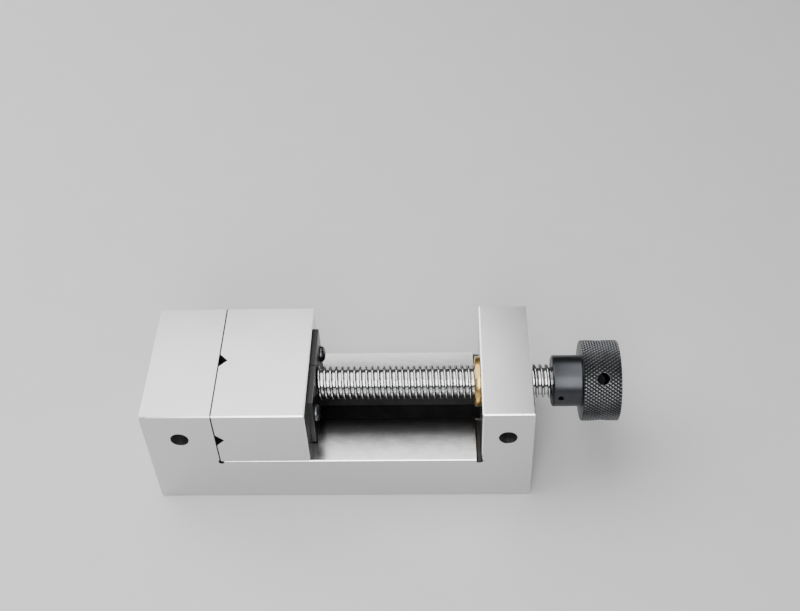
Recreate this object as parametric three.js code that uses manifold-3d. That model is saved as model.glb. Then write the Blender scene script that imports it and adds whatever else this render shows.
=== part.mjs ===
// Toolmaker's grinding vise, screw type: a one-piece ground body (fixed jaw, bed and end block), a sliding jaw
// held down by a keeper plate that runs in a T-slot under the bed, and a lead screw that turns in a bronze nut
// pressed into the end block. The screw's collar is trapped in the jaw by a split retainer plate, so the jaw
// follows the screw both ways. A knurled knob with tommy-bar holes is pinned to the screw's outer end.
//
// Millimetres. +X runs along the screw from the fixed jaw to the knob, +Y to the rear, +Z up.
// The origin is at the centre of the footprint of the closed vise, on the surface that it stands on.
import * as THREE from "three";
import { mergeVertices } from "three/addons/utils/BufferGeometryUtils.js";
import Module from "manifold-3d";

const wasm = await Module();
wasm.setup();

// ---- driving dimensions ----
const JAW_WIDTH = 60; // across Y
const BODY_LENGTH = 160;
const BASE_HEIGHT = 25; // bed top above the underside
const JAW_DEPTH = 30; // jaw top above the bed
const FIXED_JAW = 29.5; // thickness along X
const END_BLOCK = 21;
const MOVING_JAW = 37.8;
const CLOSED_GAP = 0.1; // between the jaw faces when closed
const SLIDE_GAP = 0.02; // moving jaw above the bed
const EDGE = 0.5; // ground edge chamfer
const OVERALL = 196.5; // closed, knob included

const SCREW_PITCH = 2.54;
const SCREW_MAJOR_R = 7.3;
const SCREW_MINOR_R = 5.9;
const SCREW_Z = BASE_HEIGHT + 15; // axis height
const THREAD_CREST = 0.56; // axial width of the thread's crest
const THREAD_FLANK = 0.44; // axial width of a flank
const THREAD_SEGMENTS = 16; // facets per turn
const THREAD_PHASE = -1.1; // of the thread along the screw
const NUT_CLEARANCE = 0.3; // radial, in the nut's thread
const NUT_SIDE_CLEARANCE = 0.15; // axial, on each flank

const PLATE_THICKNESS = 2.5;
const PLATE_ABOVE = 11.5; // of the screw's axis
const PLATE_BELOW = 14.5;
const PLATE_HALF = 20.5; // length of each half along Y
const PLATE_SCREW_Y = 16.3;
const NECK_R = 4.6;
const COLLAR_R = 6.6;

const NUT_FLANGE_R = 10.75;
const NUT_FLANGE = 2.4;
const NUT_BODY_R = 9;

const HUB_R = 10.85;
const HUB_START = 169;
const KNOB_START = 181;
const KNOB_R = 17;
const TOMMY_R = 2.5;
const TOMMY_X = 189;
const TOMMY_ANGLE = 52; // of the first tommy-bar hole above the front horizontal, degrees

const SIDE_HOLE_R = 3.75;
const SIDE_HOLE_DEPTH = 12;

const SLOT_HALF = 7.6; // guide slot through the bed
const CHANNEL_HALF = 11.4; // wider channel under it
const KEEPER_WIDTH = 21.6;
const CHANNEL_HEIGHT = 15;
const V_HALF = 3.6; // 90 degree vee grooves in the moving jaw's face
const V_HEIGHT = 14.5; // horizontal vee above the bed

const XC = OVERALL / 2; // x below is measured from the body's left face, and shifted by this at the end

// ---- helpers ----
function solid(geometry) {
  const g = geometry.index ? geometry.toNonIndexed() : geometry.clone();
  const bare = new THREE.BufferGeometry().setAttribute("position", g.getAttribute("position"));
  const merged = mergeVertices(bare, 1e-4);
  const idx = merged.index.array;
  const keep = [];
  for (let i = 0; i < idx.length; i += 3) {
    const [a, b, c] = [idx[i], idx[i + 1], idx[i + 2]];
    if (a !== b && b !== c && c !== a) keep.push(a, b, c);
  }
  const vertProperties = new Float32Array(merged.attributes.position.array);
  let made = new wasm.Manifold(new wasm.Mesh({ numProp: 3, vertProperties, triVerts: new Uint32Array(keep) }));
  if (made.volume() < 0) {
    for (let i = 0; i < keep.length; i += 3) [keep[i + 1], keep[i + 2]] = [keep[i + 2], keep[i + 1]];
    made = new wasm.Manifold(new wasm.Mesh({ numProp: 3, vertProperties, triVerts: new Uint32Array(keep) }));
  }
  return made;
}

function geometryOf(manifold) {
  const m = manifold.getMesh();
  const v = new Float32Array(m.numVert * 3);
  for (let i = 0; i < m.numVert; i++) v.set(m.vertProperties.subarray(i * m.numProp, i * m.numProp + 3), i * 3);
  const g = new THREE.BufferGeometry();
  g.setAttribute("position", new THREE.BufferAttribute(v, 3));
  g.setIndex(new THREE.BufferAttribute(new Uint32Array(m.triVerts), 1));
  g.computeVertexNormals();
  return g;
}

// A polygon in the XZ plane, extruded along Y about y = 0.
function slabXZ(points, width) {
  const shape = new THREE.Shape(points.map(([x, z]) => new THREE.Vector2(x, z)));
  const g = new THREE.ExtrudeGeometry(shape, { depth: width, bevelEnabled: false });
  g.translate(0, 0, -width / 2);
  g.rotateX(Math.PI / 2);
  return solid(g);
}

// A wedge that, taken away, chamfers the edge from p to q by c. n1 and n2 are the outward normals of its two faces.
function edgeWedge(p, q, n1, n2, c) {
  const shape = new THREE.Shape([new THREE.Vector2(-c - 1, 1), new THREE.Vector2(1, -c - 1), new THREE.Vector2(1, 1)]);
  const a = new THREE.Vector3(...p);
  const b = new THREE.Vector3(...q);
  const g = new THREE.ExtrudeGeometry(shape, { depth: a.distanceTo(b), bevelEnabled: false });
  const basis = new THREE.Matrix4().makeBasis(new THREE.Vector3(...n1), new THREE.Vector3(...n2), b.sub(a).normalize());
  g.applyMatrix4(basis);
  g.translate(...p);
  return solid(g);
}

// A polygon in the XY plane, extruded along Z from z0 to z1.
function slabXY(points, z0, z1) {
  const shape = new THREE.Shape(points.map(([x, y]) => new THREE.Vector2(x, y)));
  const g = new THREE.ExtrudeGeometry(shape, { depth: z1 - z0, bevelEnabled: false });
  g.translate(0, 0, z0);
  return solid(g);
}

function box(x0, x1, y0, y1, z0, z1) {
  const g = new THREE.BoxGeometry(x1 - x0, y1 - y0, z1 - z0);
  g.translate((x0 + x1) / 2, (y0 + y1) / 2, (z0 + z1) / 2);
  return solid(g);
}

// A solid of revolution about the X axis at (y, z), from [x, r] pairs that start and end on the axis.
function turnedX(profile, segments, y = 0, z = SCREW_Z) {
  const g = new THREE.LatheGeometry(profile.map(([x, r]) => new THREE.Vector2(r, x)), segments);
  g.rotateZ(-Math.PI / 2);
  g.translate(0, y, z);
  return solid(g);
}

// The same about the Z axis at (x, y), from [z, r] pairs.
function turnedZ(profile, segments, x, y) {
  const g = new THREE.LatheGeometry(profile.map(([z, r]) => new THREE.Vector2(r, z)), segments);
  g.rotateX(Math.PI / 2);
  g.translate(x, y, 0);
  return solid(g);
}

// A cylinder between two points.
function rod(a, b, r, segments = 24) {
  const from = new THREE.Vector3(...a);
  const to = new THREE.Vector3(...b);
  const g = new THREE.CylinderGeometry(r, r, from.distanceTo(to), segments);
  g.applyQuaternion(new THREE.Quaternion().setFromUnitVectors(new THREE.Vector3(0, 1, 0), to.clone().sub(from).normalize()));
  g.translate((a[0] + b[0]) / 2, (a[1] + b[1]) / 2, (a[2] + b[2]) / 2);
  return solid(g);
}

// A hexagonal socket along Z or X, across flats af.
function hexRod(a, b, af) {
  return rod(a, b, af / Math.sqrt(3), 6);
}

// A rectangle with rounded corners, as points in order.
function roundedRect(x0, x1, y0, y1, r, steps = 5) {
  const out = [];
  for (const [cx, cy, start] of [[x1 - r, y0 + r, -90], [x1 - r, y1 - r, 0], [x0 + r, y1 - r, 90], [x0 + r, y0 + r, 180]])
    for (let i = 0; i <= steps; i++) {
      const t = THREE.MathUtils.degToRad(start + (90 * i) / steps);
      out.push([cx + r * Math.cos(t), cy + r * Math.sin(t)]);
    }
  return out;
}

// A right-hand threaded rod along X: a root cylinder of radius minor with one trapezoidal ridge of radius major.
// base and crest are the ridge's axial widths at those radii, and its middle is at x = 0 where the angle is 0.
function threadedRod(x0, x1, minor, major, base, crest) {
  const n = THREAD_SEGMENTS;
  const first = Math.floor(x0 / SCREW_PITCH) - 1;
  const turns = Math.ceil(x1 / SCREW_PITCH) + 1 - first;
  const last = turns * n;
  const start = first * SCREW_PITCH + THREAD_PHASE;
  const profile = [[-base / 2, minor], [-crest / 2, major], [crest / 2, major], [base / 2, minor]];
  const v = [];
  for (let k = 0; k <= last; k++) {
    const a = (2 * Math.PI * (k % n)) / n;
    for (const [dx, r] of profile) v.push(start + (SCREW_PITCH * k) / n + dx, r * Math.cos(a), r * Math.sin(a));
  }
  const at = (k, j) => k * 4 + j;
  const tri = [];
  const quad = (a, b, c, d) => tri.push(a, b, c, a, c, d);
  for (let k = 0; k < last; k++) {
    for (let j = 0; j < 3; j++) quad(at(k, j), at(k, j + 1), at(k + 1, j + 1), at(k + 1, j));
    if (k + 1 + n <= last) quad(at(k, 3), at(k + n, 0), at(k + n + 1, 0), at(k + 1, 3));
  }
  const left = v.length / 3;
  v.push(start - base / 2, 0, 0);
  const right = left + 1;
  v.push(start + turns * SCREW_PITCH + base / 2, 0, 0);
  for (let k = 0; k < n; k++) tri.push(left, at(k, 0), at(k + 1, 0));
  tri.push(left, at(0, 1), at(0, 0), left, at(0, 2), at(0, 1), left, at(0, 3), at(0, 2), left, at(n, 0), at(0, 3));
  for (let k = last - n; k < last; k++) tri.push(right, at(k + 1, 3), at(k, 3));
  tri.push(right, at(last, 0), at(last, 1), right, at(last, 1), at(last, 2), right, at(last, 2), at(last, 3), right, at(last - n, 3), at(last, 0));
  const g = new THREE.BufferGeometry();
  g.setAttribute("position", new THREE.BufferAttribute(new Float32Array(v), 3));
  g.setIndex(tri);
  g.translate(0, 0, SCREW_Z);
  return solid(g).intersect(turnedX([[x0, 0], [x0, 12], [x1, 12], [x1, 0]], 12));
}

// ---- materials ----
const groundSteel = new THREE.MeshStandardMaterial({ color: 0xc9cac8, roughness: 0.34, metalness: 1 });
const screwSteel = new THREE.MeshStandardMaterial({ color: 0xd6d7d8, roughness: 0.2, metalness: 1 });
const blackSteel = new THREE.MeshStandardMaterial({ color: 0x2b2e31, roughness: 0.42, metalness: 0.85 });
const plateSteel = new THREE.MeshStandardMaterial({ color: 0x4a4c4a, roughness: 0.45, metalness: 0.9 });
const bronze = new THREE.MeshStandardMaterial({ color: 0xc9a25a, roughness: 0.28, metalness: 1 });
const springSteel = new THREE.MeshStandardMaterial({ color: 0x9a9ca0, roughness: 0.3, metalness: 1 });

const vise = new THREE.Group();
const jaw = new THREE.Group();
const screw = new THREE.Group();
const root = new THREE.Group();
root.add(vise, jaw, screw);
root.position.x = -XC;

function add(group, name, manifold, material) {
  const mesh = new THREE.Mesh(geometryOf(manifold), material);
  mesh.name = name;
  group.add(mesh);
}

const TOP = BASE_HEIGHT + JAW_DEPTH;
const BED_END = BODY_LENGTH - END_BLOCK;
const half = JAW_WIDTH / 2;

// ---- vise body ----
{
  const c = EDGE;
  let body = slabXZ(
    [
      [c, 0], [BODY_LENGTH - c, 0], [BODY_LENGTH, c], [BODY_LENGTH, TOP - c], [BODY_LENGTH - c, TOP],
      [BED_END + c, TOP], [BED_END, TOP - c], [BED_END, BASE_HEIGHT], [FIXED_JAW, BASE_HEIGHT],
      [FIXED_JAW, TOP - 0.2], [FIXED_JAW - 0.2, TOP], [c, TOP], [0, TOP - c], [0, c],
    ],
    JAW_WIDTH,
  );
  const cut = [];
  // ground edge chamfers along the sides: top edges, bed edges, foot edges and upright edges
  for (const s of [-1, 1]) {
    const y = s * half;
    const side = [0, s, 0];
    cut.push(edgeWedge([-1, y, TOP], [FIXED_JAW + 1, y, TOP], side, [0, 0, 1], c));
    cut.push(edgeWedge([BED_END - 1, y, TOP], [BODY_LENGTH + 1, y, TOP], side, [0, 0, 1], c));
    cut.push(edgeWedge([-1, y, 0], [BODY_LENGTH + 1, y, 0], side, [0, 0, -1], c));
    cut.push(edgeWedge([FIXED_JAW, y, BASE_HEIGHT], [BED_END, y, BASE_HEIGHT], side, [0, 0, 1], 0.3));
    cut.push(edgeWedge([0, y, -1], [0, y, TOP + 1], side, [-1, 0, 0], c));
    cut.push(edgeWedge([BODY_LENGTH, y, -1], [BODY_LENGTH, y, TOP + 1], side, [1, 0, 0], c));
    cut.push(edgeWedge([FIXED_JAW, y, BASE_HEIGHT], [FIXED_JAW, y, TOP + 1], side, [1, 0, 0], 0.2));
    cut.push(edgeWedge([BED_END, y, BASE_HEIGHT], [BED_END, y, TOP + 1], side, [-1, 0, 0], c));
  }
  // grinding reliefs in the two corners of the bed
  const relief = [];
  for (let i = 0; i < 12; i++) relief.push([FIXED_JAW + 0.4 + 1.3 * Math.cos((Math.PI * i) / 6), BASE_HEIGHT - 0.35 + 1.3 * Math.sin((Math.PI * i) / 6)]);
  cut.push(slabXZ(relief, JAW_WIDTH + 2));
  cut.push(
    slabXZ(
      [
        [BED_END - 2.2, BASE_HEIGHT + 0.1], [BED_END - 2.2, BASE_HEIGHT - 1.3], [BED_END - 1.6, BASE_HEIGHT - 1.9],
        [BED_END - 0.3, BASE_HEIGHT - 1.9], [BED_END + 0.9, BASE_HEIGHT - 0.7], [BED_END - 0.02, BASE_HEIGHT + 0.5],
      ],
      JAW_WIDTH + 2,
    ),
  );
  // guide slot through the bed, running on under the jaw and the end block, and the keeper's channel under it
  cut.push(slabXY(roundedRect(22, 147, -SLOT_HALF, SLOT_HALF, SLOT_HALF - 0.2, 6), CHANNEL_HEIGHT - 1, BASE_HEIGHT));
  cut.push(slabXY(roundedRect(17, 147, -CHANNEL_HALF, CHANNEL_HALF, 6), -1, CHANNEL_HEIGHT));
  cut.push(box(FIXED_JAW + 3, BED_END, -SLOT_HALF, SLOT_HALF, CHANNEL_HEIGHT, BASE_HEIGHT + 1));
  // bore for the nut
  cut.push(turnedX([[BED_END - 1, 0], [BED_END - 1, NUT_BODY_R + 0.3], [BODY_LENGTH + 1, NUT_BODY_R + 0.3], [BODY_LENGTH + 1, 0]], 32));
  // lock screw's hole, up from the underside
  cut.push(rod([152.5, 0, -1], [152.5, 0, SCREW_Z - NUT_BODY_R + 1], 2.8, 16));
  // clamping holes in both sides, at the screw's height, in the fixed jaw and the end block
  for (const s of [-1, 1])
    for (const x of [FIXED_JAW / 2, BED_END + END_BLOCK / 2]) {
      const depth = x < 50 ? SIDE_HOLE_DEPTH : SIDE_HOLE_DEPTH + 3;
      const g = new THREE.LatheGeometry(
        [[0, -1], [SIDE_HOLE_R + 1.3, -1], [SIDE_HOLE_R, 0.3], [SIDE_HOLE_R, depth], [0, depth + 2]].map(([r, y]) => new THREE.Vector2(r, y)),
        28,
      );
      if (s > 0) g.rotateX(Math.PI);
      g.translate(x, s * half, SCREW_Z);
      cut.push(solid(g));
    }
  for (const m of cut) body = body.subtract(m);
  add(vise, "vise_body", body, groundSteel);
}

// ---- flanged bronze nut ----
{
  const x0 = BED_END - NUT_FLANGE;
  let nut = turnedX(
    [
      [x0, 0], [x0, NUT_FLANGE_R - 0.4], [x0 + 0.4, NUT_FLANGE_R], [BED_END - 0.02, NUT_FLANGE_R], [BED_END - 0.02, NUT_BODY_R],
      [BODY_LENGTH - 0.5, NUT_BODY_R], [BODY_LENGTH - 0.2, NUT_BODY_R - 0.3], [BODY_LENGTH - 0.2, 0],
    ],
    32,
  );
  const groove = 2 * NUT_SIDE_CLEARANCE + THREAD_CREST + 2 * THREAD_FLANK;
  const slope = (2 * THREAD_FLANK) / (SCREW_MAJOR_R - SCREW_MINOR_R);
  nut = nut.subtract(
    threadedRod(
      x0 - 1, BODY_LENGTH + 1,
      SCREW_MINOR_R + NUT_CLEARANCE, SCREW_MAJOR_R + NUT_CLEARANCE,
      groove - slope * NUT_CLEARANCE, THREAD_CREST + 2 * NUT_SIDE_CLEARANCE - slope * NUT_CLEARANCE,
    ),
  );
  const mouth = SCREW_MAJOR_R + 0.5;
  nut = nut.subtract(turnedX([[x0 - 1, 0], [x0 - 1, mouth + 1], [x0 + 1.6, SCREW_MINOR_R - 0.3], [x0 + 1.6, 0]], 32));
  nut = nut.subtract(turnedX([[BODY_LENGTH - 1.8, 0], [BODY_LENGTH - 1.8, SCREW_MINOR_R - 0.3], [BODY_LENGTH + 1, mouth + 1], [BODY_LENGTH + 1, 0]], 32));
  add(vise, "lead_nut", nut, bronze);
  const tip = SCREW_Z - NUT_BODY_R - 0.3;
  add(
    vise,
    "nut_lock_screw",
    turnedZ([[tip, 0], [tip, 1.4], [tip - 1, 2.5], [tip - 8, 2.5], [tip - 8, 0]], 20, 152.5, 0).subtract(hexRod([152.5, 0, tip - 9], [152.5, 0, tip - 5.4], 2.5)),
    blackSteel,
  );
}

// ---- moving jaw ----
const J0 = FIXED_JAW + CLOSED_GAP;
const J1 = J0 + MOVING_JAW;
const POCKET = 11.4; // depth of the collar's pocket in the jaw's rear face
const BALL_R = 4;
{
  const c = EDGE;
  const z0 = BASE_HEIGHT + SLIDE_GAP;
  const vz = BASE_HEIGHT + V_HEIGHT;
  let block = slabXZ(
    [
      [J0 + 0.6, z0], [J1 - 0.3, z0], [J1, z0 + 0.3], [J1, TOP - c], [J1 - c, TOP],
      [J0 + 0.2, TOP], [J0, TOP - 0.2], [J0, vz + V_HALF], [J0 + V_HALF, vz], [J0, vz - V_HALF], [J0, z0 + 0.6],
    ],
    JAW_WIDTH,
  );
  for (const s of [-1, 1]) {
    const y = s * half;
    block = block.subtract(edgeWedge([J0 - 1, y, TOP], [J1 + 1, y, TOP], [0, s, 0], [0, 0, 1], c));
    block = block.subtract(edgeWedge([J1, y, z0 - 1], [J1, y, TOP + 1], [0, s, 0], [1, 0, 0], c));
    block = block.subtract(edgeWedge([J0, y, z0 - 1], [J0, y, TOP + 1], [0, s, 0], [-1, 0, 0], 0.2));
  }
  block = block.subtract(slabXY([[J0 - 0.001, -V_HALF], [J0 + V_HALF, 0], [J0 - 0.001, V_HALF], [J0 - 1, V_HALF], [J0 - 1, -V_HALF]], z0 - 1, TOP + 1));
  block = block.add(box(J0 + 3.5, J1 - 3.5, -SLOT_HALF + 0.3, SLOT_HALF - 0.3, CHANNEL_HEIGHT + 0.3, z0 + 1));
  block = block.subtract(
    turnedX(
      [
        [J1 - POCKET - BALL_R - 0.8, 0], [J1 - POCKET - BALL_R - 0.8, BALL_R + 0.3], [J1 - POCKET, BALL_R + 0.3],
        [J1 - POCKET, COLLAR_R + 0.3], [J1 + 1, COLLAR_R + 0.3], [J1 + 1, 0],
      ],
      28,
    ),
  );
  for (const y of [-PLATE_SCREW_Y, PLATE_SCREW_Y]) block = block.subtract(rod([J1 - 12, y, SCREW_Z], [J1 + 1, y, SCREW_Z], 2.3, 16));
  for (const x of [J0 + 9.9, J1 - 9.9]) block = block.subtract(rod([x, 0, CHANNEL_HEIGHT - 1], [x, 0, 31], 2.8, 16));
  add(jaw, "movable_jaw", block, groundSteel);
  const ball = new THREE.SphereGeometry(BALL_R, 20, 14);
  ball.translate(J1 - POCKET - 0.5, 0, SCREW_Z);
  add(jaw, "thrust_ball", solid(ball), springSteel);
}

// ---- split retainer plate and its two button-head screws ----
for (const [side, s] of [["front", -1], ["rear", 1]]) {
  const p0 = J1 + 0.02;
  const near = s * 0.15;
  const far = s * PLATE_HALF;
  const [ya, yb] = [Math.min(near, far), Math.max(near, far)];
  const c = 0.35;
  const zlo = SCREW_Z - PLATE_BELOW;
  const zhi = SCREW_Z + PLATE_ABOVE;
  const outline = new THREE.Shape([[ya, zlo], [yb, zlo], [yb, zhi], [ya, zhi]].map(([y, z]) => new THREE.Vector2(y, z)));
  const g = new THREE.ExtrudeGeometry(outline, { depth: PLATE_THICKNESS - c, bevelEnabled: true, bevelThickness: c, bevelSize: c, bevelOffset: -c, bevelSegments: 1 });
  g.rotateX(Math.PI / 2).rotateZ(Math.PI / 2);
  g.translate(p0, 0, 0);
  let plate = solid(g).intersect(box(p0, p0 + PLATE_THICKNESS, ya - 1, yb + 1, zlo - 1, zhi + 1));
  plate = plate.subtract(turnedX([[p0 - 1, 0], [p0 - 1, NECK_R + 0.4], [p0 + 4, NECK_R + 0.4], [p0 + 4, 0]], 28));
  plate = plate.subtract(rod([p0 - 1, s * PLATE_SCREW_Y, SCREW_Z], [p0 + 4, s * PLATE_SCREW_Y, SCREW_Z], 2.3, 16));
  add(jaw, "retainer_plate_" + side, plate, plateSteel);

  const h0 = p0 + PLATE_THICKNESS + 0.02;
  let head = turnedX(
    [[h0 - 12, 0], [h0 - 12, 1.6], [h0 - 11.6, 1.98], [h0, 1.98], [h0, 3.5], [h0 + 0.5, 3.45], [h0 + 1.3, 3.0], [h0 + 1.9, 2.2], [h0 + 2.1, 1.6], [h0 + 2.1, 0]],
    20, s * PLATE_SCREW_Y,
  );
  head = head.subtract(hexRod([h0 + 0.8, s * PLATE_SCREW_Y, SCREW_Z], [h0 + 3, s * PLATE_SCREW_Y, SCREW_Z], 2.5));
  add(jaw, "retainer_screw_" + side, head, blackSteel);
}

// ---- keeper plate under the bed, its two cap screws and their disc springs ----
{
  const z1 = CHANNEL_HEIGHT - 0.1;
  const z0 = z1 - 8;
  const xs = [["left", J0 + 9.9], ["right", J1 - 9.9]];
  let keeper = slabXZ([[J0 + 3, z0 + 0.5], [J0 + 3.5, z0], [J1 - 3.5, z0], [J1 - 3, z0 + 0.5], [J1 - 3, z1], [J0 + 3, z1]], KEEPER_WIDTH);
  for (const [, x] of xs) {
    keeper = keeper.subtract(rod([x, 0, z0 - 1], [x, 0, z1 + 1], 2.8, 16));
    keeper = keeper.subtract(rod([x, 0, z0 - 1], [x, 0, z0 + 5.4], 5, 24));
  }
  add(jaw, "keeper_plate", keeper, plateSteel);
  const seat = z0 + 5.4;
  for (const [side, x] of xs) {
    for (const [place, top, up] of [["upper", seat - 0.05, 1], ["lower", seat - 1.2, -1]]) {
      // dished 0.35 mm, the two of a pair facing each other
      const t = 0.7;
      const inner = 2.75;
      const outer = 4.7;
      const zi = up > 0 ? top - 0.35 : top;
      const zo = up > 0 ? top : top - 0.35;
      const profile = [[zi, inner], [zo, outer], [zo - t, outer], [zi - t, inner], [zi, inner]];
      const g = new THREE.LatheGeometry(profile.map(([z, r]) => new THREE.Vector2(r, z)), 24);
      g.rotateX(Math.PI / 2);
      g.translate(x, 0, 0);
      add(jaw, `disc_spring_${side}_${place}`, solid(g), springSteel);
    }
    const under = seat - 2.35;
    let cap = turnedZ(
      [[under - 4, 0], [under - 4, 3.7], [under - 3.5, 4.2], [under, 4.2], [under, 2.48], [29.6, 2.48], [30, 2.1], [30, 0]],
      24, x, 0,
    );
    cap = cap.subtract(hexRod([x, 0, under - 5], [x, 0, under - 1.6], 4));
    add(jaw, "keeper_screw_" + side, cap, blackSteel);
  }
}

// ---- lead screw, knob and cross pin ----
{
  const t0 = J1 + PLATE_THICKNESS + 0.12;
  const t1 = HUB_START - 0.3;
  let rodBody = threadedRod(t0, t1, SCREW_MINOR_R, SCREW_MAJOR_R, THREAD_CREST + 2 * THREAD_FLANK, THREAD_CREST);
  rodBody = rodBody.intersect(
    turnedX([[t0 - 1, 0], [t0 - 1, SCREW_MINOR_R - 0.7], [t0 + 0.8, SCREW_MAJOR_R + 0.9], [t1 - 1.6, SCREW_MAJOR_R + 1], [t1 + 0.4, SCREW_MINOR_R], [t1 + 1, 0]], 28),
  );
  // collar in the jaw's pocket, neck through the retainer plate
  rodBody = rodBody.add(
    turnedX(
      [
        [J1 - POCKET + BALL_R - 0.2, 0], [J1 - POCKET + BALL_R - 0.2, COLLAR_R - 0.5], [J1 - POCKET + BALL_R + 0.3, COLLAR_R],
        [J1 - 0.3, COLLAR_R], [J1 - 0.3, NECK_R], [t0 + 0.5, NECK_R], [t0 + 0.5, 0],
      ],
      28,
    ),
  );
  // plain shank in the knob's bore
  rodBody = rodBody.add(turnedX([[t1 - 2, 0], [t1 - 2, 5], [HUB_START + 15.5, 5], [HUB_START + 16, 4.5], [HUB_START + 16, 0]], 28));
  const pinX = HUB_START + 3.3;
  const a = THREE.MathUtils.degToRad(TOMMY_ANGLE - 45);
  const dir = [0, -Math.cos(a), Math.sin(a)];
  const along = (x, r) => [x, dir[1] * r, SCREW_Z + dir[2] * r];
  rodBody = rodBody.subtract(rod(along(pinX, -8), along(pinX, 8), 1.6, 14));
  add(screw, "lead_screw", rodBody, screwSteel);

  let knob = turnedX(
    [
      [HUB_START, 0], [HUB_START, HUB_R - 0.5], [HUB_START + 0.5, HUB_R], [KNOB_START, HUB_R], [KNOB_START, KNOB_R - 0.6],
      [KNOB_START + 0.6, KNOB_R], [OVERALL - 0.5, KNOB_R], [OVERALL, KNOB_R - 0.5], [OVERALL, 0],
    ],
    48,
  );
  knob = knob.subtract(turnedX([[HUB_START - 1, 0], [HUB_START - 1, 5.3], [HUB_START + 16.4, 5.3], [HUB_START + 18, 0]], 28));
  for (const turn of [0, 90]) {
    const b = THREE.MathUtils.degToRad(TOMMY_ANGLE + turn);
    const d = [-Math.cos(b), Math.sin(b)];
    knob = knob.subtract(rod([TOMMY_X, -d[0] * 18, SCREW_Z - d[1] * 18], [TOMMY_X, d[0] * 18, SCREW_Z + d[1] * 18], TOMMY_R, 20));
  }
  knob = knob.subtract(rod(along(pinX, -12), along(pinX, 12), 1.6, 14));
  add(screw, "knob", knob, blackSteel);
  add(screw, "knob_pin", rod(along(pinX, -10.2), along(pinX, 10.2), 1.3, 12), springSteel);
}

export default root;
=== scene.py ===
"""Looks of the screw-type toolmaker's vise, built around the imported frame. Lengths below are in millimetres, with x
from the body's left end, and become metres of the row frame in to_row()."""

import math  # noqa: E402

import bmesh  # noqa: E402
import bpy  # noqa: E402
import numpy as np  # noqa: E402
from mathutils import Matrix, Vector  # noqa: E402


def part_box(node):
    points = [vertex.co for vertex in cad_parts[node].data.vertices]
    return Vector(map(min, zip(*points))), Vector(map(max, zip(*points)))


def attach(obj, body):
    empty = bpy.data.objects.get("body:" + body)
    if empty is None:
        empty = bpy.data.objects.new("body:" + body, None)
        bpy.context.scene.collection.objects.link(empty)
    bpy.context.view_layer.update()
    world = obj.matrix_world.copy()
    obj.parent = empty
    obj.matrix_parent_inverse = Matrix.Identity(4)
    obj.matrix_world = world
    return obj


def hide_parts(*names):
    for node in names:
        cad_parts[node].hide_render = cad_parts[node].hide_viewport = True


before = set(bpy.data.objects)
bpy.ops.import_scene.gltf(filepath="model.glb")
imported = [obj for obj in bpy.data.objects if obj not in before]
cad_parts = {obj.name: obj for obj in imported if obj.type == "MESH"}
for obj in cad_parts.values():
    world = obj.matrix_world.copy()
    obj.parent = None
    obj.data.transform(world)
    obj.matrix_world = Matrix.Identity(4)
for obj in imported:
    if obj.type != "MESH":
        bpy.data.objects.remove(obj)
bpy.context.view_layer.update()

# ---------------------------------------------------------------- dimensions, from the frame where it has them
body_lo, body_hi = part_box("vise_body")
jaw_lo, jaw_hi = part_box("movable_jaw")
nut_lo, nut_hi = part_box("lead_nut")
screw_lo, screw_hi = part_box("lead_screw")
knob_lo, knob_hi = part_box("knob")
plate_lo, plate_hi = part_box("retainer_plate_front")
button_lo, button_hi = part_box("retainer_screw_front")
keeper_lo, keeper_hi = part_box("keeper_plate")
cap_lo, cap_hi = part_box("keeper_screw_left")
spring_lo, spring_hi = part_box("disc_spring_left_upper")
X0 = body_lo.x * 1000


def local(x):
    return x * 1000 - X0


LENGTH = local(body_hi.x)
HALF = body_hi.y * 1000
TOP = body_hi.z * 1000
BED = TOP - 30.0
J0, J1 = local(jaw_lo.x), local(jaw_hi.x)
FIXED = J0 - 0.1
AXIS_Z = (screw_lo.z + screw_hi.z) * 500
NUT0, NUT1 = local(nut_lo.x), local(nut_hi.x)
END = LENGTH - 21.0
FLANGE_R = (nut_hi.y - nut_lo.y) * 500
HUB0, KNOB1 = local(knob_lo.x), local(knob_hi.x)
HEAD0 = HUB0 + 12.0
HEAD_R = (knob_hi.y - knob_lo.y) * 500
HUB_R = 10.85
TOMMY_R = 2.5
TOMMY_X = HUB0 + 20.0
TOMMY_ANGLE = 52.0
PIN_X = HUB0 + 3.3
PITCH = 2.54
REACH = -plate_lo.y * 1000
PHASE = -1.1  # where along the screw a crest's middle crosses the plane of the front side, modulo the pitch
BUTTON_Y = button_hi.y * 500 + button_lo.y * 500
MAJOR, MINOR = 7.3, 5.9
CREST, FLANK = 0.56, 0.44
SCREW0, SCREW1 = J1 + 2.62, HUB0 - 0.3
SIDE_HOLE_R = 3.75
EDGE = 0.5
JOINT = 0.25  # chamfer where the closed jaws meet
SLOT = 7.6
CHANNEL = 11.4
CHANNEL_Z = 15.0


def to_row(points):
    v = np.array(points, float).reshape(-1, 3)
    v[:, 0] += X0
    return v * 0.001


# ---------------------------------------------------------------- meshes
collection = bpy.context.scene.collection


def mesh_object(name, points, faces, slot=0, weld=True):
    me = bpy.data.meshes.new(name)
    me.from_pydata(to_row(points).tolist(), [], faces)
    bm = bmesh.new()
    bm.from_mesh(me)
    if weld:
        bmesh.ops.remove_doubles(bm, verts=bm.verts, dist=2e-8)
        bmesh.ops.dissolve_degenerate(bm, edges=bm.edges, dist=1e-8)
    bmesh.ops.recalc_face_normals(bm, faces=bm.faces)
    for f in bm.faces:
        f.material_index = slot
    bm.to_mesh(me)
    bm.free()
    o = bpy.data.objects.new(name, me)
    collection.objects.link(o)
    return o


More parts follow.
